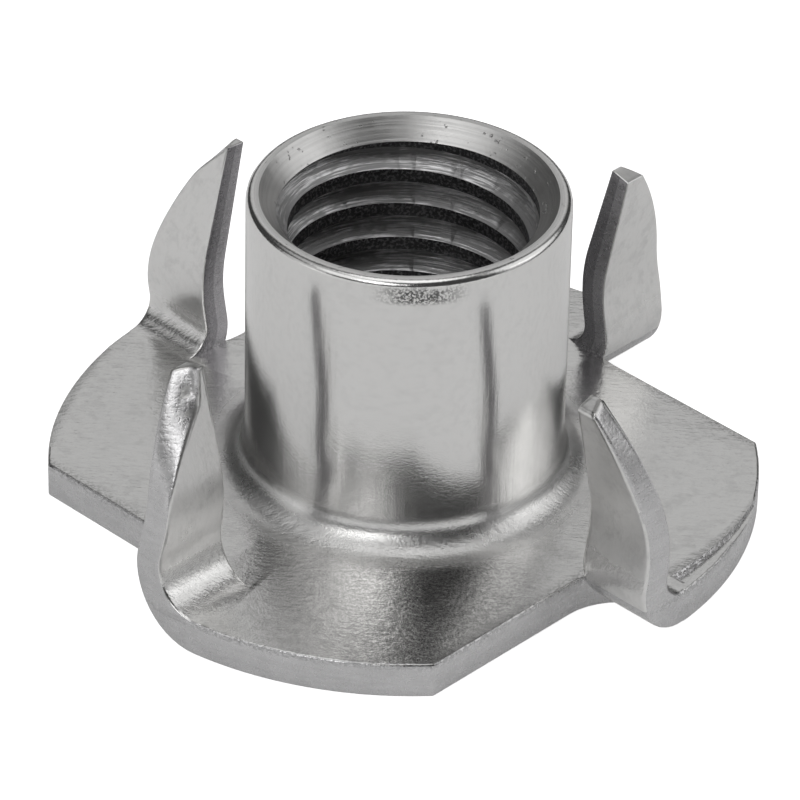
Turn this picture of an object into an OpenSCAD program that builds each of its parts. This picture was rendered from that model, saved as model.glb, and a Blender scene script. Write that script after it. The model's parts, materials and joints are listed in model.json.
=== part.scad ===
// Four-prong tee nut, drawn and pierced from one piece of sheet.
// It stands on its flange: the barrel's axis is Z and the flange's underside is z = 0.
// Seen from above, every prong stands at the clockwise end of its own lobe, so the nut can't be mirrored.

/* [Barrel] */
// Outside diameter of the barrel
barrel_d = 10; // [9.4:0.1:11]
// Height from the flange's underside to the barrel's rim
barrel_h = 10.8; // [9:0.1:16]
// Radius of the barrel's rounded outer rim
rim_r = 0.15; // [0.05:0.05:0.25]
// Radius of the drawn corner between the barrel and the flange
root_r = 1; // [0.4:0.1:1.6]

/* [Bore] */
// Diameter of the bore at the thread's crests
bore_d = 7.2; // [6.2:0.1:7.2]
// Diameter of the countersink at the rim
countersink_d = 9.2; // [8:0.1:9.3]
// Angle between the countersink's wall and the bore's axis
countersink_angle = 45; // [40:5:60]
// Radius of the bore's rounded mouth in the flange's underside
mouth_r = 1; // [0.4:0.1:1.4]

/* [Flange] */
// Diameter of the round blank, and so of the flange across its lobes
flange_d = 22.3; // [21.6:0.1:24]
// Thickness of the sheet
sheet_t = 1.2; // [0.9:0.05:1.4]
// Distance from the axis to the straight sheared edges of the lobes and prongs
shear_x = 8.45; // [8:0.05:8.8]

/* [Prongs] */
// Number of prongs
prong_count = 4; // [3:1:5]
// Direction of the first prong, counter-clockwise from the X axis
prong_azimuth = 45; // [0:5:90]
// Height of the prongs' tips above the flange's underside
prong_h = 8.3; // [7.6:0.1:9.5]
// Thickness of the prongs above the fold, which draws the sheet thinner
prong_t = 0.95; // [0.7:0.05:1.2]
// Distance from a prong's radial line to the line where its fold starts
fold_y = 1.15; // [0.9:0.05:1.4]
// Inside radius of the fold
fold_r = 0.8; // [0.5:0.1:1.1]
// Angle that the fold turns the sheet through
fold_angle = 99; // [92:1:104]
// Flat length between the fold and the prong's outward curve
flat_l = 0.6; // [0.2:0.1:1]
// Radius of the outward curve in the middle of the prong, on its lobe's side
curve_r = 5.5; // [3:0.5:8]
// Angle between the flange and the prong's upper half, on its lobe's side
upper_angle = 75; // [70:1:84]
// Angle between the two faces of the prong's upper half, which thins it to its tip
taper_angle = 3.5; // [0:0.5:6]
// Width of the prong's blunt tip
tip_w = 0.45; // [0.1:0.05:0.6]
// Radius of the notch's corner, where the lobe's sheared edge meets the next prong's fold
notch_r = 2.2; // [0.5:0.1:2.4]

/* [Hidden] */
$fn = 128;
overlap = 0.05;
// The prong's rounds are cut this much larger, so that each cuts clean into the faces that it touches
clean = 0.0001;
barrel_r = barrel_d / 2;
bore_r = bore_d / 2;
flange_r = flange_d / 2;
// Everything is drawn a little past the rim, and one cut at the end trims it all to the flange's radius
blank_r = flange_r + overlap;
countersink_r = countersink_d / 2;
countersink_depth = (countersink_r - bore_r) / tan(countersink_angle);
// The prong's curved edge is the blank's rim, lifted by the fold
lift = prong_h - sqrt(pow(blank_r, 2) - pow(shear_x + tip_w, 2));

// The fold is worked out in a plane across it: [distance towards the prong's lobe, height].
// along(a) runs up the sheet after a turn of a degrees, and away(a) points out of its notch side.
function along(a) = [-cos(a), sin(a)];
function away(a) = [-sin(a), -cos(a)];
// The fold starts on one line on both faces, and its outside radius leaves the prong's thickness
lean = away(fold_angle)[1];
fold_outer_r = (prong_t + fold_r + lean * (sheet_t + fold_r)) / (1 + lean);
flat_end = [fold_y, sheet_t + fold_r] + fold_r * away(fold_angle) + flat_l * along(fold_angle);
curve_c = flat_end + curve_r * away(fold_angle);
upper_start = curve_c - curve_r * away(upper_angle);
tip = upper_start + (prong_h - upper_start[1]) / sin(upper_angle) * along(upper_angle);

// Where two lines cross that touch a circle of radius 1 about the origin at the points given
function crossing(from, to) = (from + to) / (1 + from * to);

// What is left of a corner when a round of radius r about the origin is taken out of it.
// The corner's sides touch the round in the two directions given.
module corner(r, from, to) {
    difference() {
        polygon((r + overlap) * [[0, 0], from, crossing(from, to), to]);
        circle(r);
    }
}

// Half-section of the nut before its notches are sheared, at right angles to the rim
module section() {
    difference() {
        union() {
            square([blank_r, sheet_t]);
            square([barrel_r, barrel_h]);
            translate([barrel_r + root_r, sheet_t + root_r]) corner(root_r, [-1, 0], [0, -1]);
        }
        square([bore_r, barrel_h]);
        translate([bore_r + mouth_r, mouth_r]) corner(mouth_r, [-1, 0], [0, -1]);
        translate([barrel_r - rim_r, barrel_h - rim_r]) corner(rim_r, [1, 0], [0, 1]);
        polygon([
            [0, barrel_h - countersink_depth],
            [bore_r, barrel_h - countersink_depth],
            [countersink_r, barrel_h],
            [0, barrel_h],
        ]);
    }
}

// Everything on the lobe's side of one face of the folded sheet, out to the reach given.
// In the flange that face is at the height z, and in the prong at the depth d from its lobe's side.
module lobe_side(z, fold, d, upper, reach) {
    fold_c = [fold_y, z + fold];
    curve = curve_r - d;
    difference() {
        polygon([
            fold_c + fold * crossing(away(0), away(fold_angle)),
            curve_c - curve * away(fold_angle),
            curve_c - curve * away(upper),
            curve_c - curve * away(upper) + reach * along(upper),
            [reach, reach],
            [reach, z],
        ]);
        translate(fold_c + [0, clean]) corner(fold + clean, away(0), away(fold_angle));
        translate(curve_c) circle(curve + clean);
    }
}

// Section across one prong and its fold, with the flange's sheet running on past the fold
module prong_section() {
    difference() {
        lobe_side(0, fold_outer_r, prong_t, upper_angle + taper_angle, flange_d);
        lobe_side(sheet_t, fold_r, 0, upper_angle, 2 * flange_d);
        translate(tip) rotate(90 - upper_angle) translate([-flange_d, 0]) square(3 * flange_d);
    }
}

// Outline of one prong seen square on: its sheared edge, and the blank's rim lifted by the fold
module prong_outline() {
    intersection() {
        translate([shear_x, 0]) square([flange_r, prong_h + sheet_t]);
        union() {
            translate([0, lift]) circle(blank_r);
            square([blank_r + overlap, lift]);
        }
    }
}

// One prong on the X axis, with its lobe on the +Y side and its notch on the -Y side
module prong() {
    intersection() {
        rotate([90, 0, 90]) linear_extrude(flange_d) prong_section();
        translate([0, fold_y + overlap, 0]) rotate([90, 0, 0]) linear_extrude(flange_d) prong_outline();
    }
}

// Sheet that one notch and its prong take out of the flange
module notch() {
    translate([0, 0, -overlap]) linear_extrude(sheet_t + 2 * overlap) difference() {
        translate([shear_x, -flange_r]) square([flange_r, flange_r + fold_y]);
        translate([shear_x + notch_r, fold_y - notch_r]) corner(notch_r, [-1, 0], [0, 1]);
    }
}

module around() {
    for (i = [0 : prong_count - 1]) rotate(prong_azimuth + i * 360 / prong_count) children();
}

module tee_nut() {
    color("silver") {
        intersection() {
            union() {
                difference() {
                    rotate_extrude() section();
                    around() notch();
                }
                around() prong();
            }
            cylinder(r = flange_r, h = 2 * barrel_h);
        }
    }
}

tee_nut();
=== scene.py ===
"""Looks for a four-prong tee nut, pressed from one sheet of bright plated steel.

The nut is made the way a press shop makes it: a blank is drawn into a barrel and a flange, pierced,
countersunk, sheared, folded into prongs and tapped. All of it is one mesh in the CAD frame.
"""

import json
import logging
import math
from dataclasses import dataclass
from enum import Enum
from typing import Any, Callable, Sequence, Union

import bmesh
import bpy
from mathutils import Matrix, Vector


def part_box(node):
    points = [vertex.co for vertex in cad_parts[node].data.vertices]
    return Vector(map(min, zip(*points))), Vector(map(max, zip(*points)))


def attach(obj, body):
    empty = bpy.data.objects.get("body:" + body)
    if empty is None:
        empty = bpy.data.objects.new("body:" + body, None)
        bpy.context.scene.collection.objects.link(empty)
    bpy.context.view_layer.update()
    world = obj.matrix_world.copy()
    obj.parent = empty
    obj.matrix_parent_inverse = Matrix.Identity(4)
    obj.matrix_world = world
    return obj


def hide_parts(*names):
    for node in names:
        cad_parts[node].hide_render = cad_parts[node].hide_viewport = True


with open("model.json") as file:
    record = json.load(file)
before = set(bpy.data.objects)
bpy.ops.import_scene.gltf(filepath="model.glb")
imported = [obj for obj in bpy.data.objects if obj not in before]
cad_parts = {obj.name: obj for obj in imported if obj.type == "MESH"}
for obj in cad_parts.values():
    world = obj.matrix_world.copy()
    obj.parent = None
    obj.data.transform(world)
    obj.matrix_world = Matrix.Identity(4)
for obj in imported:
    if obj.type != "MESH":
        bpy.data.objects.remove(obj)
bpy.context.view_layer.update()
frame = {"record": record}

NODE = "tee_nut"
MM = 0.001
# How near, in metres, counts as the same place
TOUCH = 1e-6

log = logging.getLogger("tee_nut")


# ---------------- modelling helpers


def deselect_all() -> None:
    """Deselects every object, so that an operator acts only on what is picked next."""
    if bpy.context.mode != "OBJECT":
        bpy.ops.object.mode_set(mode="OBJECT")
    bpy.ops.object.select_all(action="DESELECT")


def pick(*objects: bpy.types.Object) -> None:
    """Selects the objects given and makes the last one active."""
    deselect_all()
    for item in objects:
        item.select_set(True)
    bpy.context.view_layer.objects.active = objects[-1]


def apply_modifier(piece: bpy.types.Object, kind: str, **settings: Any) -> None:
    """Adds a modifier to a piece and applies it.

    Args:
        piece: The piece to change.
        kind: The modifier's type, such as "BEVEL".
        settings: Values for the modifier's properties.
    """
    pick(piece)
    modifier = piece.modifiers.new(kind.title(), kind)
    for name, value in settings.items():
        setattr(modifier, name, value)
    bpy.ops.object.modifier_apply(modifier=modifier.name)


def combine(piece: bpy.types.Object, tool: bpy.types.Object, operation: str) -> None:
    """Joins a closed solid to a piece by "UNION", or cuts it away by "DIFFERENCE", and deletes it."""
    apply_modifier(piece, "BOOLEAN", operation=operation, solver="MANIFOLD", object=tool)
    bpy.data.objects.remove(tool)


def select_only(kind: str, test: Callable[[Any], bool]) -> None:
    """Selects parts of the mesh that is being edited, and nothing else.

    Args:
        kind: "faces" or "edges".
        test: Tells whether a face or an edge is selected.
    """
    bpy.ops.mesh.select_mode(type="FACE" if kind == "faces" else "EDGE")
    bpy.ops.mesh.select_all(action="DESELECT")
    data = bpy.context.object.data
    mesh = bmesh.from_edit_mesh(data)
    for item in getattr(mesh, kind):
        if test(item):
            item.select_set(True)
    mesh.select_flush_mode()
    bmesh.update_edit_mesh(data)


def turn(piece: bpy.types.Object, degrees: float) -> None:
    """Turns a piece's mesh counter-clockwise about the nut's axis."""
    piece.data.transform(Matrix.Rotation(math.radians(degrees), 4, "Z"))


def settle(piece: bpy.types.Object) -> None:
    """Applies a piece's place, turn and scale, so that its object sits at the origin."""
    pick(piece)
    bpy.ops.object.transform_apply(location=True, rotation=True, scale=True)


def face_outwards() -> None:
    """Points every face of the mesh that is being edited outwards, and leaves edit mode."""
    bpy.ops.mesh.select_all(action="SELECT")
    bpy.ops.mesh.normals_make_consistent(inside=False)
    bpy.ops.object.mode_set(mode="OBJECT")


def heading(azimuth: float, elevation: float = 0.0) -> Vector:
    """Works out a direction.

    Args:
        azimuth: Degrees counter-clockwise from +X.
        elevation: Degrees above the floor.

    Returns:
        The unit vector.
    """
    turned, raised = math.radians(azimuth), math.radians(elevation)
    across = math.cos(raised)
    return Vector((math.cos(turned) * across, math.sin(turned) * across, math.sin(raised)))


def smoothstep(value: float, low: float, high: float) -> float:
    """Rises smoothly from 0 at low to 1 at high.

    Args:
        value: The value to place between the limits.
        low: Where the rise starts.
        high: Where it ends.

    Returns:
        A number from 0 to 1.
    """
    t = min(max((value - low) / (high - low), 0.0), 1.0)
    return t * t * (3 - 2 * t)


# ---------------- shader helpers

Value = Union["Sock", float]
Surface = tuple[Value, Value, Value]
Pair = tuple[float, float]
Triple = tuple[float, float, float]


class Sock:
    """A shader socket that Python arithmetic can be written on."""

    def __init__(self, tree: "Tree", socket: bpy.types.NodeSocket) -> None:
        """Wraps an output socket of a tree."""
        self.tree = tree
        self.socket = socket

    def _math(self, operation: str, *values: Value) -> "Sock":
        """Adds a Math node and returns its output."""
        return self.tree.node("ShaderNodeMath", {"operation": operation}, list(values))

    def __add__(self, other: Value) -> "Sock":
        """self + other."""
        return self._math("ADD", self, other)

    __radd__ = __add__

    def __sub__(self, other: Value) -> "Sock":
        """self - other."""
        return self._math("SUBTRACT", self, other)

    def __rsub__(self, other: Value) -> "Sock":
        """other - self."""
        return self._math("SUBTRACT", other, self)

    def __mul__(self, other: Value) -> "Sock":
        """self * other."""
        return self._math("MULTIPLY", self, other)

    __rmul__ = __mul__

    def __truediv__(self, other: Value) -> "Sock":
        """self / other."""
        return self._math("DIVIDE", self, other)

    def __pow__(self, other: Value) -> "Sock":
        """self ** other."""
        return self._math("POWER", self, other)

    def ramp(self, low: float, high: float) -> "Sock":
        """Rises smoothly from 0 at low to 1 at high, or falls where low is the larger.

        Args:
            low: The value that gives 0.
            high: The value that gives 1.

        Returns:
            The ramp's socket.
        """
        start, end = (0.0, 1.0) if low <= high else (1.0, 0.0)
        limits = {"From Min": min(low, high), "From Max": max(low, high), "To Min": start, "To Max": end}
        settings = {"interpolation_type": "SMOOTHSTEP"}
        return self.tree.node("ShaderNodeMapRange", settings, {"Value": self, **limits})

    def band(self, low: float, high: float, soft: float) -> "Sock":
        """Is 1 from low to high and 0 outside, with each end softened by soft to both sides."""
        return self.ramp(low - soft, low + soft) * self.ramp(high + soft, high - soft)


class Tree:
    """A material's or world's node tree."""

    def __init__(self, owner: Any) -> None:
        """Empties the owner's tree.

        Args:
            owner: A material or a world.
        """
        owner.use_nodes = True
        self.nodes = owner.node_tree.nodes
        self.links = owner.node_tree.links
        self.nodes.clear()

    def node(self, kind: str, settings: dict[str, Any], values: Any, output: Union[int, str] = 0) -> Sock:
        """Adds a node.

        Args:
            kind: The node's type.
            settings: Its properties, which are set first.
            values: A list or a dict of the values or links of its inputs.
            output: The output to return.

        Returns:
            The output's socket.
        """
        made = self.nodes.new(kind)
        for name, value in settings.items():
            setattr(made, name, value)
        pairs = values.items() if isinstance(values, dict) else enumerate(values)
        for key, value in pairs:
            if isinstance(value, Sock):
                self.links.new(value.socket, made.inputs[key])
            else:
                made.inputs[key].default_value = value
        return Sock(self, made.outputs[output])

    def mix(self, factor: Value, low: Any, high: Any) -> Sock:
        """Mixes two colours.

        Args:
            factor: 0 gives the first colour and 1 the second.
            low: The first colour.
            high: The second colour.

        Returns:
            The mixed colour.
        """
        factor_in, low_in, high_in, colour_out = 0, 6, 7, 2
        colours = {factor_in: factor, low_in: low, high_in: high}
        return self.node("ShaderNodeMix", {"data_type": "RGBA"}, colours, colour_out)

    def place(self, scale: Sequence[float] = (1.0, 1.0, 1.0), turned: float = 0.0) -> Sock:
        """Object coordinates in millimetres, stretched.

        Args:
            scale: Cycles per millimetre along X, Y and Z.
            turned: Turn about Z in degrees, before the stretch.

        Returns:
            The coordinates.
        """
        spot = self.node("ShaderNodeTexCoord", {}, {}, "Object")
        if turned:
            angle = (0.0, 0.0, math.radians(turned))
            spot = self.node("ShaderNodeMapping", {}, {"Vector": spot, "Rotation": angle})
        return self.node("ShaderNodeMapping", {}, {"Vector": spot, "Scale": [s / MM for s in scale]})

    def noise(self, where: Sock, detail: float = 2.0, rough: float = 0.5) -> Sock:
        """Noise from about 0.3 to 0.7.

        Args:
            where: The coordinates.
            detail: How many octaves it has.
            rough: How strong each finer octave is.

        Returns:
            The noise.
        """
        values = {"Vector": where, "Scale": 1.0, "Detail": detail, "Roughness": rough}
        return self.node("ShaderNodeTexNoise", {}, values)

    def part(self, vector: Sock, index: int) -> Sock:
        """One component of a vector: 0, 1 or 2 for X, Y or Z."""
        return self.node("ShaderNodeSeparateXYZ", {}, [vector], index)

    def finish(self, shader: Sock, kind: str = "Material") -> None:
        """Links a shader to the tree's output, of the kind "Material" or "World"."""
        output = self.nodes.new(f"ShaderNodeOutput{kind}")
        self.links.new(shader.socket, output.inputs["Surface"])

    def grey(self, value: Value) -> Sock:
        """A neutral colour of the value given."""
        return self.node("ShaderNodeCombineColor", {}, [value, value, value])


# ---------------- finishes


@dataclass(frozen=True)
class Steel:
    """Bright plated steel, with the marks that one way of working leaves."""

    name: str
    shade: Triple = (0.80, 0.795, 0.785)

    def surface(self, tree: Tree) -> Surface:
        """Works out how the surface varies.

        Args:
            tree: The material's tree.

        Returns:
            The shade's factor, the roughness, and the height in millimetres.
        """
        raise NotImplementedError

    def material(self) -> bpy.types.Material:
        """Makes and returns the material."""
        made = bpy.data.materials.new(self.name)
        tree = Tree(made)
        factor, roughness, height = self.surface(tree)
        colour = tree.mix(factor, (0.0, 0.0, 0.0, 1.0), (*self.shade, 1.0))
        bump = tree.node("ShaderNodeBump", {}, {"Strength": 1.0, "Distance": MM, "Height": height})
        shader = tree.node(
            "ShaderNodeBsdfPrincipled", {},
            {"Base Color": colour, "Metallic": 1.0, "Roughness": roughness, "Normal": bump},
        )
        tree.finish(shader)
        return made


@dataclass(frozen=True)
class PressedSteel(Steel):
    """Drawn and folded faces: drawing lines on what stands up, and the sheet's grain on what lies flat.

    Lengths are in millimetres. A pair ending in from says where a zone is 0 and where it is 1, and one ending
    in reach gives a band's two sides. The zones are the flange, the lower barrel, the prongs, what lies above
    the plain underside, a ring round the barrel's foot, the front lobe, which is darkened as painted shade,
    the cuts, and a patch under the rim that is darker in specks.

    Attributes:
        slant: The sine of 45 degrees, the turn of the two middle lines that the cuts lie across.
        twist_from: Where one line's distance takes over from the other's, in square millimetres.
        plain_share: How much of the relief the underside keeps.
    """

    name: str = "pressed_steel"
    flange_from: Pair = (5.05, 5.5)
    coarse_from: Pair = (5.0, 2.2)
    prong_from: Pair = (1.7, 2.6)
    worked_from: Pair = (0.3, 0.8)
    foot_reach: Pair = (5.05, 6.3)
    foot_soft: float = 0.25
    foot_from: Pair = (2.5, 2.0)
    front_from: Pair = (-4.6, -6.4)
    front_middle: float = 0.8
    front_half: float = 3.0
    front_soft: float = 1.8
    cut_from: Pair = (7.95, 8.4)
    cut_until: Pair = (8.6, 8.5)
    slant: float = 0.7071
    twist_from: Pair = (-0.1, 0.1)
    patch_from: Pair = (-4.3, -4.8)
    patch_reach: Pair = (-0.7, 1.3)
    patch_height: Pair = (10.05, 10.6)
    patch_soft: Pair = (0.7, 0.12)
    plain_share: float = 0.15

    def surface(self, tree: Tree) -> Surface:
        """Works out how the drawn faces vary, as Steel.surface says."""
        spot = tree.place()
        x, y, z = (tree.part(spot, index) for index in range(3))
        radius = (x * x + y * y) ** 0.5
        off_barrel = radius.ramp(*self.flange_from)
        low = z.ramp(*self.coarse_from)
        folded = off_barrel * z.ramp(*self.prong_from)
        top = z.ramp(*self.worked_from)
        flat = off_barrel * top * z.ramp(*reversed(self.prong_from))
        foot = radius.band(*self.foot_reach, self.foot_soft) * top * z.ramp(*self.foot_from)
        drawing = tree.noise(tree.place((7.0, 7.0, 0.35)), detail=3.0)
        combed = tree.noise(tree.place((5.0, 5.0, 0.12)), detail=4.0, rough=0.65)
        grain = tree.noise(tree.place((1.5, 7.0, 3.0), turned=6.0), detail=4.0, rough=0.65)
        weave = tree.noise(tree.place((2.2, 8.0, 4.0), turned=6.0), detail=3.0, rough=0.6)
        speckle = tree.noise(tree.place((13.0, 13.0, 13.0)), detail=3.0, rough=0.65)
        cloud = tree.noise(tree.place((0.7, 0.7, 0.7)), detail=3.0)
        smut = tree.noise(tree.place((1.3, 1.3, 1.3)), detail=4.0, rough=0.7)
        height = (
            0.004 * drawing + 0.008 * combed * low * (1 - off_barrel)
            + (0.002 + 0.007 * off_barrel * top) * grain + (0.016 * flat + 0.006 * folded) * weave
            + (0.003 + 0.003 * low + 0.001 * flat + 0.005 * foot) * speckle
        ) * (self.plain_share + (1 - self.plain_share) * top)
        roughness = 0.10 + 0.08 * cloud + 0.05 * speckle + 0.13 * folded + 0.12 * foot
        # Painted shade: the front lobe's term darkens it for the dark reflections on it; the smut and the oil
        # beside the cuts are the steel's own dirt.
        dirt_and_painted_shade = (
            0.09 * smut.ramp(0.48, 0.66) * off_barrel
            + 0.35 * self._beside_cuts(x, y) * flat * speckle.ramp(0.44, 0.58)
            + self._front_painted_shade(x, y) * flat * (0.25 + 0.2 * speckle.ramp(0.56, 0.44))
        )
        # Darker in specks under the front of the rim.
        under_rim_specks = self._under_rim(x, y, z) * speckle.ramp(0.42, 0.54) * smut.ramp(0.36, 0.5) * 0.85
        lines = top * (0.08 * (grain - 0.5) + 0.2 * (weave - 0.5))
        factor = (0.94 + 0.1 * cloud + lines) * (1 - dirt_and_painted_shade) * (1 - under_rim_specks)
        return factor, roughness, height

    def _front_painted_shade(self, x: Sock, y: Sock) -> Sock:
        """Where the front lobe is darkened as painted shade, which stands in for the dark reflections on it.
        """
        across = (x - self.front_middle).band(-self.front_half, self.front_half, self.front_soft)
        return y.ramp(*self.front_from) * across

    def _beside_cuts(self, x: Sock, y: Sock) -> Sock:
        """Where oil stays beside the sheared cuts, which lie across the nut's two slanting middle lines."""
        first, second = self.slant * (x + y), self.slant * (y - x)
        twist = (first * second).ramp(*self.twist_from)
        cut = (first * first) ** 0.5 * (1 - twist) + (second * second) ** 0.5 * twist
        return cut.ramp(*self.cut_from) * cut.ramp(*self.cut_until)

    def _under_rim(self, x: Sock, y: Sock, z: Sock) -> Sock:
        """Where the barrel is darker, in specks, under the front of its rim."""
        across, up = self.patch_soft
        return y.ramp(*self.patch_from) * x.band(*self.patch_reach, across) * z.band(*self.patch_height, up)


@dataclass(frozen=True)
class ShearedSteel(Steel):
    """Cut edges of the sheet, with fine lines along the way that the shear went, and a burr at the top, whose
    specks are painted lighter as a painted glint.
    """

    name: str = "sheared_steel"
    shade: Triple = (0.66, 0.655, 0.66)
    burr_reach: Pair = (1.03, 1.22)
    burr_soft: float = 0.03

    def surface(self, tree: Tree) -> Surface:
        """Works out how the cut edges vary, as Steel.surface says."""
        grit = tree.noise(tree.place((9.0, 9.0, 9.0)), detail=3.0, rough=0.6)
        cloud = tree.noise(tree.place((1.5, 1.5, 1.5)), detail=2.0)
        drag = tree.noise(tree.place((1.2, 1.2, 7.0)), detail=3.0, rough=0.6)
        # Painted glint: the burr's specks are lighter in colour as well as raised.
        burr_and_glint = tree.part(tree.place(), 2).band(*self.burr_reach, self.burr_soft) * grit.ramp(0.50, 0.60)
        height = 0.010 * grit + 0.008 * drag + 0.02 * burr_and_glint
        return 0.72 + 0.2 * cloud + 0.25 * drag + 0.2 * burr_and_glint, 0.22 + 0.12 * grit, height


@dataclass(frozen=True)
class TornSteel(ShearedSteel):
    """The prongs' inner edges, torn where the punch broke through, and left dull by the plating."""

    name: str = "torn_steel"
    shade: Triple = (0.30, 0.292, 0.308)


@dataclass(frozen=True)
class BurnishedSteel(ShearedSteel):
    """The part of the prongs' inner edges that the punch rubbed smooth before the sheet tore."""

    name: str = "burnished_steel"
    shade: Triple = (0.44, 0.43, 0.45)


@dataclass(frozen=True)
class TurnedSteel(Steel):
    """The countersink and the rim, with the tool's rings."""

    name: str = "turned_steel"

    def surface(self, tree: Tree) -> Surface:
        """Works out how the turned faces vary, as Steel.surface says."""
        spot = tree.node("ShaderNodeTexCoord", {}, {}, "Object")
        flat = tree.node("ShaderNodeVectorMath", {"operation": "MULTIPLY"}, [spot, (1.0, 1.0, 0.0)])
        radius = tree.node("ShaderNodeVectorMath", {"operation": "LENGTH"}, [flat], "Value") / MM
        turns = {"W": radius, "Scale": 9.0, "Detail": 3.0}
        rings = tree.node("ShaderNodeTexNoise", {"noise_dimensions": "1D"}, turns)
        arcs = tree.noise(tree.place((2.5, 2.5, 2.5)), detail=3.0)
        speckle = tree.noise(tree.place((12.0, 12.0, 12.0)), detail=2.0)
        nicks = tree.noise(tree.place((4.0, 4.0, 4.0)), detail=2.0, rough=0.7).ramp(0.66, 0.72)
        height = 0.010 * rings + 0.004 * arcs + 0.003 * speckle - 0.02 * nicks
        return 0.72 + 0.3 * rings - 0.3 * nicks, 0.3 + 0.14 * arcs, height


@dataclass(frozen=True)
class TappedSteel(Steel):
    """The thread's flanks, scored by the tap along the thread, with the scores' scales per millimetre."""

    name: str = "tapped_steel"
    shade: Triple = (0.95, 0.945, 0.95)
    score_along: float = 0.5
    score_out: float = 11.0
    score_up: float = 4.0

    def surface(self, tree: Tree) -> Surface:
        """Works out how the thread's flanks vary, as Steel.surface says."""
        spot = tree.place()
        x, y, z = (tree.part(spot, index) for index in range(3))
        across = self.score_out * (x * x + y * y) ** 0.5 + self.score_up * z
        followed = [self.score_along * x, self.score_along * y, across]
        score = tree.noise(tree.node("ShaderNodeCombineXYZ", {}, followed), detail=3.0, rough=0.7)
        scuff = tree.noise(tree.place((0.8, 0.8, 3.0)), detail=3.0, rough=0.6)
        grit = tree.noise(tree.place((9.0, 9.0, 9.0)), detail=2.0)
        bright = score.ramp(0.44, 0.58) * scuff.ramp(0.38, 0.54)
        return 0.42 + 0.58 * bright, 0.5 - 0.2 * bright, 0.024 * score + 0.006 * grit


@dataclass(frozen=True)
class CrestSteel(Steel):
    """The thread's crests: the drilled wall that the tap left, burred along its edges, and painted dark as
    painted shade for the shade inside the bore.
    """

    name: str = "crest_steel"
    shade: Triple = (0.55, 0.545, 0.56)

    def surface(self, tree: Tree) -> Surface:
        """Works out how the thread's crests vary, as Steel.surface says."""
        grit = tree.noise(tree.place((11.0, 11.0, 11.0)), detail=2.0)
        smear = tree.noise(tree.place((0.9, 0.9, 4.0)), detail=3.0, rough=0.6)
        # Painted shade: a very dark colour for the shade in the bore, with lighter specks as painted glints
        # on the burrs.
        return 0.05 + 0.25 * smear + 0.35 * grit.ramp(0.46, 0.66), 0.5, 0.014 * grit


class Finish(Enum):
    """The nut's surfaces and their steels, in the order of its material slots."""

    PRESSED = PressedSteel()
    SHEARED = ShearedSteel()
    TORN = TornSteel()
    TURNED = TurnedSteel()
    TAPPED = TappedSteel()
    CREST = CrestSteel()
    BURNISHED = BurnishedSteel()


# ---------------- the nut's parts


@dataclass
class Sheet:
    """The pressed sheet, in millimetres."""

    flange_r: float
    barrel_r: float
    bore_r: float
    height: float
    seat: float
    root_r: float = 1.0
    rim_r: float = 0.25
    mouth_r: float = 1.0
    countersink_r: float = 4.6
    relief_r: float = 4.0
    relief_depth: float = 0.35
    crest_wear: float = 0.12
    shear_x: float = 8.45
    notch_r: float = 2.2
    rim_margin: float = 0.05
    sides: int = 192

    @classmethod
    def from_frame(cls) -> "Sheet":
        """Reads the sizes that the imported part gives.

        Returns:
            The sheet.
        """
        low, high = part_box(NODE)
        mounts = {mount["name"]: mount for mount in frame["record"]["mounts"]}
        return cls(
            flange_r=high.x / MM,
            barrel_r=mounts["barrel"]["dims"]["r_mm"],
            bore_r=mounts["thread"]["dims"]["r_mm"] + cls.crest_wear,
            height=(high.z - low.z) / MM,
            seat=mounts["wood_seat"]["pos_m"][2] / MM,
        )


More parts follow.
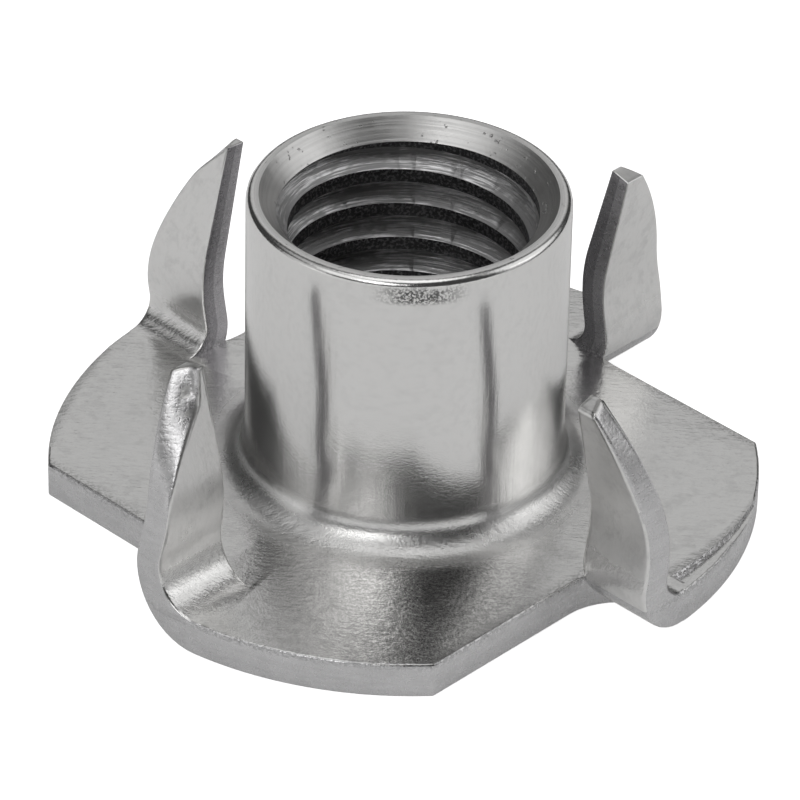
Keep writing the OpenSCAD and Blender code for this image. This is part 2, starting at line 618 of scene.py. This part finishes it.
@dataclass
class Pressing:
    """The flange and the barrel, before the cuts: a disc, drawn up in the middle and pierced."""

    sheet: Sheet
    root_segments: int = 12
    rim_segments: int = 4
    mouth_segments: int = 8

    def build(self) -> bpy.types.Object:
        """Presses the blank.

        Returns:
            The closed solid.
        """
        sheet = self.sheet
        deselect_all()
        bpy.ops.mesh.primitive_circle_add(vertices=sheet.sides, radius=sheet.flange_r * MM, fill_type="NGON")
        piece = bpy.context.object
        piece.name = "nut"
        bpy.ops.object.mode_set(mode="EDIT")
        self._raise_face(sheet.seat)
        self._draw_in(sheet.barrel_r, sheet.seat)
        self._raise_face(sheet.height - sheet.seat)
        self._draw_in(sheet.countersink_r, sheet.height)
        relief_z = sheet.height - sheet.countersink_r + sheet.relief_r
        self._draw_in(sheet.relief_r, relief_z)
        self._draw_in(sheet.relief_r, relief_z - sheet.relief_depth)
        self._draw_in(sheet.bore_r, relief_z - sheet.relief_depth - sheet.relief_r + sheet.bore_r)
        self._open_bottom()
        self._round(sheet.barrel_r, sheet.seat, sheet.root_r, self.root_segments)
        self._round(sheet.barrel_r, sheet.height, sheet.rim_r, self.rim_segments)
        self._round(sheet.bore_r, 0.0, sheet.mouth_r, self.mouth_segments)
        bpy.ops.object.mode_set(mode="OBJECT")
        return piece

    def _raise_face(self, height: float) -> None:
        """Extrudes the selected face straight up by a height."""
        bpy.ops.mesh.extrude_region_move(TRANSFORM_OT_translate={"value": (0, 0, height * MM)})

    def _draw_in(self, radius: float, z: float) -> None:
        """Extrudes the selected round face in to a new radius and height."""
        bpy.ops.mesh.extrude_region_move()
        mesh = bmesh.from_edit_mesh(bpy.context.object.data)
        for vert in (v for v in mesh.verts if v.select):
            flat = Vector((vert.co.x, vert.co.y, 0)).normalized() * radius * MM
            vert.co = Vector((flat.x, flat.y, z * MM))
        bmesh.update_edit_mesh(bpy.context.object.data)

    def _open_bottom(self) -> None:
        """Pierces the underside and joins its hole to the bore."""
        sheet = self.sheet
        select_only("faces", lambda face: (
            len(face.verts) == sheet.sides and abs(face.calc_center_median().z) < TOUCH))
        self._draw_in(sheet.bore_r, 0.0)
        select_only("faces", lambda face: len(face.verts) == sheet.sides)
        bpy.ops.mesh.bridge_edge_loops()
        face_outwards()
        bpy.ops.object.mode_set(mode="EDIT")

    def _round(self, radius: float, z: float, round_r: float, segments: int) -> None:
        """Rounds the circular edge at a radius and height."""
        select_only("edges", lambda edge: all(
            abs(vert.co.xy.length - radius * MM) < TOUCH and abs(vert.co.z - z * MM) < TOUCH
            for vert in edge.verts))
        bpy.ops.mesh.bevel(offset=round_r * MM, segments=segments, profile=0.5, clamp_overlap=False)


@dataclass
class Prong:
    """One prong, folded up from the flange, with its own small differences from the others.

    Lengths are in millimetres and angles in degrees. The lobe's side is the fold's inside.

    Attributes:
        shift: How far the fold's start lies from its usual place.
        bevel: How far the curved edge is set back on the lobe's side of the tip, which fades down to bevel_z.
        bevel_share: The largest share of the width that the set-back takes.
        bevel_bend: How it grows through the thickness: 1 is straight.
        edge_angle: How sharp an edge has to be to be rounded.
        tip_slant: How much higher the tip stands on its notch side.
        root: How far the full section reaches back into the flange.
        dive: How much further its end reaches, made smaller all round by dive_inset.
    """

    sheet: Sheet
    azimuth: float
    fold_start: float = 1.15
    shift: float = 0.0
    height: float = 8.3
    tip_w: float = 0.45
    bevel: float = 0.2
    bevel_z: float = 6.0
    bevel_share: float = 0.62
    bevel_bend: float = 1.5
    thickness: float = 0.95
    fold_r: float = 0.8
    fold_angle: float = 99.0
    flat_l: float = 0.6
    curve_r: float = 5.5
    upper_angle: float = 75.0
    taper_angle: float = 3.5
    edge_round: float = 0.07
    edge_angle: float = 38.0
    tip_slant: float = 0.0
    columns: int = 12
    layers: int = 4
    fold_steps: int = 14
    flat_steps: int = 3
    curve_steps: int = 8
    upper_steps: int = 18
    root: float = 0.12
    dive: float = 0.45
    dive_inset: float = 0.15

    @property
    def fold_y(self) -> float:
        """Where the fold starts, from the prong's radial line."""
        return self.fold_start + self.shift

    @property
    def radial(self) -> Vector:
        """The way out from the axis along the prong."""
        return heading(self.azimuth).xy

    @staticmethod
    def along(angle: float) -> Vector:
        """The way up the sheet after a turn in degrees: distance towards the lobe, and height."""
        return Vector((-math.cos(math.radians(angle)), math.sin(math.radians(angle))))

    @staticmethod
    def away(angle: float) -> Vector:
        """The way out of the sheet's notch side after a turn in degrees."""
        return Vector((-math.sin(math.radians(angle)), -math.cos(math.radians(angle))))

    def stations(self) -> list[tuple[Vector, Vector]]:
        """Works out the section across the prong.

        Returns:
            Pairs of points up the prong, on its lobe's side and on its notch side.
        """
        seat = self.sheet.seat
        lean = self.away(self.fold_angle).y
        outer_r = (self.thickness + self.fold_r + lean * (seat + self.fold_r)) / (1 + lean)
        inner_c, outer_c = Vector((self.fold_y, seat + self.fold_r)), Vector((self.fold_y, outer_r))
        pairs = [(Vector((self.fold_y + self.root, seat)), Vector((self.fold_y + self.root, 0.0)))]
        for step in range(self.fold_steps + 1):
            turned = self.away(self.fold_angle * step / self.fold_steps)
            pairs.append((inner_c + self.fold_r * turned, outer_c + outer_r * turned))
        inner, outer = pairs[-1]
        up_fold = self.along(self.fold_angle)
        curve_c = inner + self.flat_l * up_fold + self.curve_r * self.away(self.fold_angle)
        for step in range(1, self.flat_steps):
            ahead = up_fold * (self.flat_l * step / self.flat_steps)
            pairs.append((inner + ahead, outer + ahead))
        inner_turn = self.upper_angle - self.fold_angle
        outer_turn = inner_turn + self.taper_angle
        for step in range(self.curve_steps + 1):
            inner_way = self.away(self.fold_angle + inner_turn * step / self.curve_steps)
            outer_way = self.away(self.fold_angle + outer_turn * step / self.curve_steps)
            outer = curve_c - (self.curve_r - self.thickness) * outer_way
            pairs.append((curve_c - self.curve_r * inner_way, outer))
        inner, outer = pairs[-1]
        up_inner = self.along(self.upper_angle)
        up_outer = self.along(self.upper_angle + self.taper_angle)
        rise = (self.height - inner.y) / up_inner.y
        tip = inner + rise * up_inner
        outer_rise = (tip - outer).dot(up_inner) / up_outer.dot(up_inner) + self.tip_slant
        for step in range(1, self.upper_steps + 1):
            share = step / self.upper_steps
            pairs.append((inner + up_inner * (rise * share), outer + up_outer * (outer_rise * share)))
        return pairs

    def depth(self, spot: Vector) -> float:
        """How far through the sheet a point of the prong lies.

        Args:
            spot: The point, in millimetres.

        Returns:
            0 on the notch side, up to 1 on the lobe's side.
        """
        place = (Matrix.Rotation(math.radians(-self.azimuth), 3, "Z") @ spot).yz
        best, share = math.inf, 0.0
        for lobe_side, notch_side in self.stations()[1:]:
            way = lobe_side - notch_side
            along = (place - notch_side).dot(way) / way.length_squared
            gap = (place - notch_side - way * along).length
            if gap < best and -0.1 < along < 1.1:
                best, share = gap, along
        return share

    def reach(self, y: float, z: float) -> float:
        """How far out the prong's curved edge lies: the blank's rim, lifted by the fold.

        Args:
            y: Distance towards the lobe.
            z: Height.

        Returns:
            The distance from the axis along the prong's radial line.
        """
        rim = self.sheet.flange_r
        blank = rim + self.sheet.rim_margin
        lift = self.height - math.sqrt(blank**2 - (self.sheet.shear_x + self.tip_w) ** 2)
        flat = math.sqrt(rim**2 - y**2)
        return flat if z < lift else min(flat, math.sqrt(max(blank**2 - (z - lift) ** 2, 0.0)))

    def build(self) -> bpy.types.Object:
        """Folds the prong up and rounds its edges.

        Returns:
            The closed solid, whose root lies in the flange.
        """
        deselect_all()
        bpy.ops.mesh.primitive_grid_add(x_subdivisions=self.columns, y_subdivisions=self.layers, size=1.0)
        piece = bpy.context.object
        piece.name = "prong"
        bpy.ops.object.mode_set(mode="EDIT")
        mesh = bmesh.from_edit_mesh(piece.data)
        across = mesh.verts.layers.float.new("across")
        through = mesh.verts.layers.float.new("through")
        for vert in mesh.verts:
            vert[across] = vert.co.x + 0.5
            vert[through] = vert.co.y + 0.5
        pairs = self.stations()
        root = pairs[0]
        self._lay(root[0] + Vector((self.dive, 0)), root[1] + Vector((self.dive, 0)), self.dive_inset)
        for lobe_side, notch_side in pairs:
            bpy.ops.mesh.extrude_region_move()
            self._lay(lobe_side, notch_side, 0.0)
        face_outwards()
        apply_modifier(piece, "BEVEL", width=self.edge_round * MM, segments=4, limit_method="ANGLE",
                       angle_limit=math.radians(self.edge_angle), use_clamp_overlap=False)
        turn(piece, self.azimuth)
        return piece

    def _lay(self, lobe_side: Vector, notch_side: Vector, inset: float) -> None:
        """Lays the selected end of the prong across the fold, from one side of the sheet to the other."""
        data = bpy.context.object.data
        mesh = bmesh.from_edit_mesh(data)
        across = mesh.verts.layers.float["across"]
        through = mesh.verts.layers.float["through"]
        thickness = (lobe_side - notch_side).length
        for vert in (v for v in mesh.verts if v.select):
            depth = inset / thickness + vert[through] * (1 - 2 * inset / thickness)
            spot = notch_side.lerp(lobe_side, depth)
            grown = smoothstep(spot.y, self.bevel_z, self.height) * vert[through] ** self.bevel_bend
            near, far = self.sheet.shear_x + inset, self.reach(spot.x, spot.y) - inset
            far -= min(self.bevel * grown, self.bevel_share * (far - near))
            vert.co = Vector((near + (far - near) * vert[across], spot.x, spot.y)) * MM
        bmesh.update_edit_mesh(data)


@dataclass
class Notch:
    """The sheet that a prong and its notch take out of the flange."""

    sheet: Sheet
    azimuth: float
    fold_y: float
    clearance: float = 1.0
    corner_segments: int = 10

    def build(self) -> bpy.types.Object:
        """Makes the cutter.

        Returns:
            The closed solid that is cut away.
        """
        sheet = self.sheet
        deselect_all()
        far = sheet.flange_r + self.clearance
        low = Vector((sheet.shear_x, -far, -self.clearance))
        high = Vector((far, self.fold_y, sheet.seat + self.clearance))
        bpy.ops.mesh.primitive_cube_add(size=1.0, location=(low + high) * MM / 2, scale=(high - low) * MM)
        piece = bpy.context.object
        settle(piece)
        bpy.ops.object.mode_set(mode="EDIT")
        corner = Vector((sheet.shear_x, self.fold_y)) * MM
        select_only("edges", lambda edge: all((vert.co.xy - corner).length < TOUCH for vert in edge.verts))
        bpy.ops.mesh.bevel(offset=sheet.notch_r * MM, segments=self.corner_segments, profile=0.5)
        bpy.ops.object.mode_set(mode="OBJECT")
        turn(piece, self.azimuth)
        return piece


@dataclass
class RimMark:
    """A step that the press left along a lobe's rim, as the wedge that is cut away, in millimetres.

    Attributes:
        centre: The middle of the mark's arc, beside the nut's axis.
        start: Where the arc starts, in degrees.
        sweep: How far it runs, in degrees.
        outline: The wedge's section: distances from the centre, and heights above the seat.
        taper: By what share the wedge narrows and rises towards its far end.
    """

    sheet: Sheet
    centre: Pair
    start: float
    sweep: float
    outline: tuple[Pair, ...]
    taper: float = 0.0
    steps: int = 32

    def build(self) -> bpy.types.Object:
        """Sweeps the wedge along its arc.

        Returns:
            The closed solid that is cut away.
        """
        deselect_all()
        bpy.ops.mesh.primitive_circle_add(vertices=len(self.outline), radius=MM, fill_type="NGON")
        piece = bpy.context.object
        bpy.ops.object.mode_set(mode="EDIT")
        mesh = bmesh.from_edit_mesh(piece.data)
        mesh.verts.ensure_lookup_table()
        middle, out = Vector((*self.centre, 0.0)), heading(self.start)
        for vert, (distance, rise) in zip(mesh.verts, self.outline):
            vert.co = (middle + out * distance + Vector((0, 0, self.sheet.seat + rise))) * MM
        bmesh.update_edit_mesh(piece.data)
        angle = -math.radians(self.sweep)
        bpy.ops.mesh.spin(steps=self.steps, angle=angle, center=middle * MM, axis=(0, 0, 1))
        bpy.ops.mesh.select_all(action="SELECT")
        bpy.ops.mesh.remove_doubles(threshold=0.1 * TOUCH)
        face_outwards()
        self._taper(piece, middle)
        return piece

    def _taper(self, piece: bpy.types.Object, middle: Vector) -> None:
        """Narrows the wedge towards its outer side, and lifts its floor, along the arc."""
        outer, seat = max(distance for distance, _ in self.outline), self.sheet.seat
        for vert in piece.data.vertices:
            offset = vert.co / MM - middle
            turned = (math.degrees(math.atan2(offset.y, offset.x)) - self.start + 180.0) % 360.0 - 180.0
            share = 1.0 - self.taper * turned / self.sweep
            flat = offset.xy.normalized() * (outer + (offset.xy.length - outer) * share)
            z = seat + (offset.z - seat) * share
            vert.co = (middle + Vector((flat.x, flat.y, z))) * MM


@dataclass
class Tap:
    """The tap that cuts the right-hand thread, in millimetres.

    Attributes:
        root_flat: The width of the thread's flat root.
        crest_flat: The width of its flat crest.
        core_r: The radius of the tap's core, which lies inside the bore.
        core_share: The largest half width of the ridge at the core, as a share of the pitch.
        groove_z: The height of one groove's middle at the azimuth groove_azimuth, in degrees.
    """

    sheet: Sheet
    pitch: float = 1.25
    root_r: float = 4.28
    root_flat: float = 0.16
    crest_flat: float = 0.45
    core_r: float = 3.4
    core_share: float = 0.49
    spare_turns: int = 3
    steps: int = 96
    groove_z: float = 8.505
    groove_azimuth: float = 90.0

    def build(self) -> bpy.types.Object:
        """Winds the tap's ridge round the axis.

        Returns:
            The closed solid that is cut away.
        """
        sheet = self.sheet
        opening = self.pitch - self.crest_flat
        slope = (opening - self.root_flat) / 2 / (self.root_r - sheet.bore_r)
        core_half = min(opening / 2 + slope * (sheet.bore_r - self.core_r), self.core_share * self.pitch)
        outline = [
            (self.core_r, -core_half),
            (sheet.bore_r, -opening / 2),
            (self.root_r, -self.root_flat / 2),
            (self.root_r, self.root_flat / 2),
            (sheet.bore_r, opening / 2),
            (self.core_r, core_half),
        ]
        turns = math.ceil(sheet.height / self.pitch) + self.spare_turns
        start = self.groove_z - self.pitch * math.ceil((self.groove_z + 2 * self.pitch) / self.pitch)
        data = bpy.data.meshes.new("tap")
        data.from_pydata([(r * MM, 0, (start + z) * MM) for r, z in outline],
                         [(i, (i + 1) % len(outline)) for i in range(len(outline))], [])
        piece = bpy.data.objects.new("tap", data)
        bpy.context.scene.collection.objects.link(piece)
        apply_modifier(piece, "SCREW", angle=math.tau, screw_offset=self.pitch * MM, iterations=turns,
                       steps=self.steps, render_steps=self.steps, use_normal_calculate=True)
        pick(piece)
        bpy.ops.object.mode_set(mode="EDIT")
        bpy.ops.mesh.select_all(action="SELECT")
        bpy.ops.mesh.fill_holes(sides=len(outline))
        face_outwards()
        turn(piece, self.groove_azimuth)
        return piece


@dataclass
class TeeNut:
    """The whole nut, put together from its pressing, notches, prongs and thread, with angles in degrees."""

    sheet: Sheet
    outline_round: float = 0.1
    outline_segments: int = 3
    sharp: float = 60.0
    smooth: float = 32.0

    def prongs(self) -> list[Prong]:
        """The four prongs, each as it was bent.

        Returns:
            The prongs, counter-clockwise from the first.
        """
        return [
            Prong(self.sheet, azimuth=45.0, shift=-0.14, tip_w=0.6, edge_round=0.05),
            Prong(self.sheet, azimuth=135.0, shift=0.10, height=8.45, tip_w=0.3, bevel=0.25, bevel_z=7.0,
                  tip_slant=0.12),
            Prong(self.sheet, azimuth=225.0, shift=0.8, tip_w=0.5, bevel=0.95, bevel_z=4.4, fold_r=1.4,
                  flat_l=0.3, edge_round=0.1),
            Prong(self.sheet, azimuth=315.0, shift=-0.27, height=7.95, tip_w=0.6, edge_round=0.15),
        ]

    def marks(self) -> list[RimMark]:
        """The press's marks: a stepped channel on the right lobe's rim, and a slope on the left lobe's."""
        channel = ((9.95, 0.02), (10.25, -0.02), (10.5, -0.08), (10.66, -0.3), (10.78, -0.34), (10.95, -0.3),
                   (11.12, -0.12), (11.16, 0.3), (9.95, 0.3))
        slope = ((20.62, 0.01), (20.9, -0.05), (21.3, -0.17), (21.7, -0.3), (21.7, 0.3), (20.62, 0.3))
        return [
            RimMark(self.sheet, centre=(0.38, 0.82), start=-43.5, sweep=31.0, outline=channel, taper=0.8),
            RimMark(self.sheet, centre=(9.61, -2.76), start=156.0, sweep=16.0, outline=slope),
        ]

    def build(self) -> bpy.types.Object:
        """Builds and dresses the nut.

        Returns:
            The finished piece.
        """
        piece = Pressing(self.sheet).build()
        log.info("pressing: %d faces", len(piece.data.polygons))
        prongs = self.prongs()
        for prong in prongs:
            combine(piece, Notch(self.sheet, prong.azimuth, prong.fold_y).build(), "DIFFERENCE")
        self._round_outline(piece)
        for mark in self.marks():
            combine(piece, mark.build(), "DIFFERENCE")
        for prong in prongs:
            combine(piece, prong.build(), "UNION")
            log.info("prong at %.0f degrees: %d faces", prong.azimuth, len(piece.data.polygons))
        combine(piece, Tap(self.sheet).build(), "DIFFERENCE")
        log.info("tapped: %d faces", len(piece.data.polygons))
        self._dress(piece)
        return piece

    def _round_outline(self, piece: bpy.types.Object) -> None:
        """Rounds the cut edges of the flange."""
        inner = (self.sheet.shear_x - self.outline_round) * MM
        pick(piece)
        bpy.ops.object.mode_set(mode="EDIT")
        select_only("edges", lambda edge: (
            edge.is_manifold and edge.calc_face_angle() > math.radians(self.sharp)
            and min(vert.co.xy.length for vert in edge.verts) > inner
            and abs(edge.verts[0].co.z - edge.verts[1].co.z) < 10 * TOUCH))
        bpy.ops.mesh.bevel(offset=self.outline_round * MM, segments=self.outline_segments, profile=0.5,
                           clamp_overlap=False)
        bpy.ops.object.mode_set(mode="OBJECT")

    def _dress(self, piece: bpy.types.Object) -> None:
        """Gives the faces their finishes and smooth shading."""
        piece.data.materials.clear()
        slots = list(Finish)
        for finish in slots:
            piece.data.materials.append(finish.value.material())
        for face in piece.data.polygons:
            face.material_index = slots.index(self._finish_of(face.center / MM, face.normal))
        pick(piece)
        bpy.ops.object.shade_smooth_by_angle(angle=math.radians(self.smooth))

    def _finish_of(self, spot: Vector, normal: Vector) -> Finish:
        """Tells how a face was made, from where it lies and which way it faces.

        Args:
            spot: The face's middle, in millimetres.
            normal: The way it faces.

        Returns:
            The finish.
        """
        sheet, slack = self.sheet, 0.05
        steep, faces_in, faces_out, torn_share = 0.6, -0.8, 0.55, 0.5
        radius, outward = spot.xy.length, normal.xy.dot(spot.xy.normalized())
        if radius < sheet.countersink_r + 2 * slack:
            return self._finish_inside(radius, spot.z, normal.z)
        if radius < sheet.shear_x - slack:
            return Finish.PRESSED
        prong = max(self.prongs(), key=lambda item: spot.xy.dot(item.radial))
        if abs(normal.z) < steep and spot.z < sheet.seat - slack:
            return Finish.SHEARED
        if abs(normal.z) < steep and outward < faces_in:
            return Finish.TORN if prong.depth(spot) > torn_share else Finish.BURNISHED
        return Finish.SHEARED if normal.xy.dot(prong.radial) > faces_out else Finish.PRESSED

    def _finish_inside(self, radius: float, z: float, tilt: float) -> Finish:
        """Tells how a face of the bore was made.

        Args:
            radius: How far its middle lies from the axis, in millimetres.
            z: How high its middle lies, in millimetres.
            tilt: How much it faces up.

        Returns:
            The finish.
        """
        sheet, slack, upright = self.sheet, 0.05, 0.1
        above_relief = radius > sheet.relief_r - 0.02 and 0.6 < tilt < 0.8
        at_cone = abs(radius - sheet.countersink_r - z + sheet.height) < slack
        if z > sheet.height - slack or (at_cone and above_relief):
            return Finish.TURNED
        if z < sheet.mouth_r:
            return Finish.PRESSED
        return Finish.CREST if abs(tilt) < upright and radius < sheet.relief_r + 0.03 else Finish.TAPPED


# ---------------- the studio


@dataclass(frozen=True)
class SoftBox:
    """A soft round patch of light in the studio's surroundings.

    Attributes:
        azimuth: Its direction in degrees, counter-clockwise from +X.
        elevation: Its height in degrees above the floor.
        reach: How far from its middle it is still full, in degrees.
        fade: Over how many degrees more it fades out.
        level: How bright it is.
    """

    azimuth: float
    elevation: float
    reach: float
    fade: float
    level: float

    def light(self, tree: Tree, way: Sock) -> Sock:
        """The box's light in the direction that way gives, as a socket of the world's tree."""
        middle = heading(self.azimuth, self.elevation)
        aligned = tree.node("ShaderNodeVectorMath", {"operation": "DOT_PRODUCT"}, [way, middle], "Value")
        edge, full = math.cos(math.radians(self.reach + self.fade)), math.cos(math.radians(self.reach))
        return self.level * aligned.ramp(edge, full)


@dataclass(frozen=True)
class Lamp:
    """A soft square lamp, in metres and watts, which faces the nut."""

    name: str
    spot: Triple
    size: float
    power: float

    def hang(self) -> None:
        """Hangs the lamp and hides it from the steel's reflections."""
        data = bpy.data.lights.new(self.name, "AREA")
        data.shape = "SQUARE"
        data.size = self.size
        data.energy = self.power
        lamp = bpy.data.objects.new(self.name, data)
        bpy.context.scene.collection.objects.link(lamp)
        lamp.visible_glossy = False
        lamp.location = self.spot
        half_way_up = Vector((0, 0, 5 * MM))
        lamp.rotation_euler = (half_way_up - Vector(self.spot)).to_track_quat("-Z", "Y").to_euler()


@dataclass
class Studio:
    """A pale floor, a soft studio round it, and the camera.

    Angles are in degrees, the camera's lengths in millimetres and the floor's size in metres.

    Attributes:
        walls: How bright the surroundings are between the boxes.
        skirt: How much brighter the low front wall is.
        floor_glow: The floor's own light towards the camera, which keeps the background white.
        floor_mirrored: The floor's own light in the steel's reflections.
    """

    elevation: float = 34.15
    azimuth: float = 270.0 - 1.1
    roll: float = 1.22
    distance: float = 187.0
    lens: float = 269.9
    aim: Triple = (-0.156, 0.0, 3.20)
    walls: float = 0.045
    skirt: float = 0.75
    floor_size: float = 1.2
    floor_shade: float = 0.8
    floor_glow: float = 0.85
    floor_mirrored: float = 0.12
    boxes: tuple[SoftBox, ...] = (
        SoftBox(azimuth=0.0, elevation=90.0, reach=14.0, fade=11.0, level=1.15),
        SoftBox(azimuth=90.0, elevation=36.0, reach=18.0, fade=14.0, level=0.5),
        SoftBox(azimuth=250.0, elevation=38.0, reach=9.0, fade=7.0, level=1.8),
        SoftBox(azimuth=221.0, elevation=46.0, reach=12.0, fade=14.0, level=0.95),
        SoftBox(azimuth=10.0, elevation=38.0, reach=18.0, fade=12.0, level=0.85),
        SoftBox(azimuth=352.0, elevation=20.0, reach=8.0, fade=12.0, level=0.5),
        SoftBox(azimuth=172.0, elevation=54.0, reach=8.0, fade=14.0, level=0.4),
        SoftBox(azimuth=195.0, elevation=12.0, reach=10.0, fade=14.0, level=0.5),
    )
    lamps: tuple[Lamp, ...] = (
        Lamp(name="left_softbox", spot=(-0.5, -0.1, 0.35), size=0.35, power=0.46),
        Lamp(name="right_softbox", spot=(0.5, 0.15, 0.45), size=0.35, power=0.34),
    )

    def build(self) -> None:
        """Sets the studio up."""
        self._camera()
        self._floor()
        self._world()
        for lamp in self.lamps:
            lamp.hang()
        bpy.context.scene.view_settings.view_transform = "Standard"

    def _camera(self) -> None:
        """Places the camera, which looks down on the nut with a long lens."""
        roll = math.radians(self.roll)
        swing = Matrix.Rotation(math.radians(self.azimuth - 270.0), 4, "Z")
        back, right = heading(self.azimuth, self.elevation), heading(self.azimuth + 90.0)
        up = back.cross(right)
        tilted_right = math.cos(roll) * right + math.sin(roll) * up
        tilted_up = math.cos(roll) * up - math.sin(roll) * right
        spot = (swing @ Vector(self.aim) + back * self.distance) * MM
        data = bpy.data.cameras.new("camera")
        data.lens = self.lens
        data.sensor_width = 36.0
        data.clip_start, data.clip_end = MM, 10.0
        camera = bpy.data.objects.new("camera", data)
        bpy.context.scene.collection.objects.link(camera)
        turned = Matrix((tilted_right, tilted_up, back)).transposed().to_4x4()
        camera.matrix_world = Matrix.Translation(spot) @ turned
        bpy.context.scene.camera = camera

    def _floor(self) -> None:
        """Lays the pale floor, whose own light keeps the background white round the shadow."""
        deselect_all()
        bpy.ops.mesh.primitive_plane_add(size=self.floor_size, location=(0, 0, 0))
        floor = bpy.context.object
        floor.name = "floor"
        settle(floor)
        made = bpy.data.materials.new("pale_floor")
        tree = Tree(made)
        seen = tree.node("ShaderNodeLightPath", {}, {}, "Is Camera Ray")
        mirrored = tree.node("ShaderNodeLightPath", {}, {}, "Is Glossy Ray")
        lit = tree.node("ShaderNodeBsdfDiffuse", {}, {"Color": (*[self.floor_shade] * 3, 1.0)})
        light = tree.grey(seen * self.floor_glow + mirrored * self.floor_mirrored)
        glow = tree.node("ShaderNodeEmission", {}, {"Color": light, "Strength": 1.0})
        tree.finish(tree.node("ShaderNodeAddShader", {}, [lit, glow]))
        floor.data.materials.append(made)

    def _world(self) -> None:
        """Surrounds the nut with the studio's boxes and walls, and shows plain white to the camera."""
        world = bpy.data.worlds.new("studio")
        bpy.context.scene.world = world
        tree = Tree(world)
        way = tree.node("ShaderNodeTexCoord", {}, {}, "Generated")
        in_front = tree.part(way, 1).ramp(-0.1, -0.6)
        near_floor = tree.part(way, 2).band(-0.3, 0.16, 0.06)
        level = self.walls + self.skirt * in_front * near_floor
        for box in self.boxes:
            level = level + box.light(tree, way)
        seen = tree.node("ShaderNodeLightPath", {}, {}, "Is Camera Ray")
        shown = level * (1 - seen) + seen
        light = tree.node("ShaderNodeBackground", {}, {"Color": tree.grey(shown), "Strength": 1.0})
        tree.finish(light, "World")


def main() -> None:
    """Builds the nut and its studio."""
    logging.basicConfig(level=logging.INFO, format="%(name)s: %(message)s")
    nut = TeeNut(Sheet.from_frame()).build()
    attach(nut, "root")
    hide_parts(NODE)
    log.info("%s: %d faces", nut.name, len(nut.data.polygons))
    Studio().build()


if __name__ == "__main__":
    main()
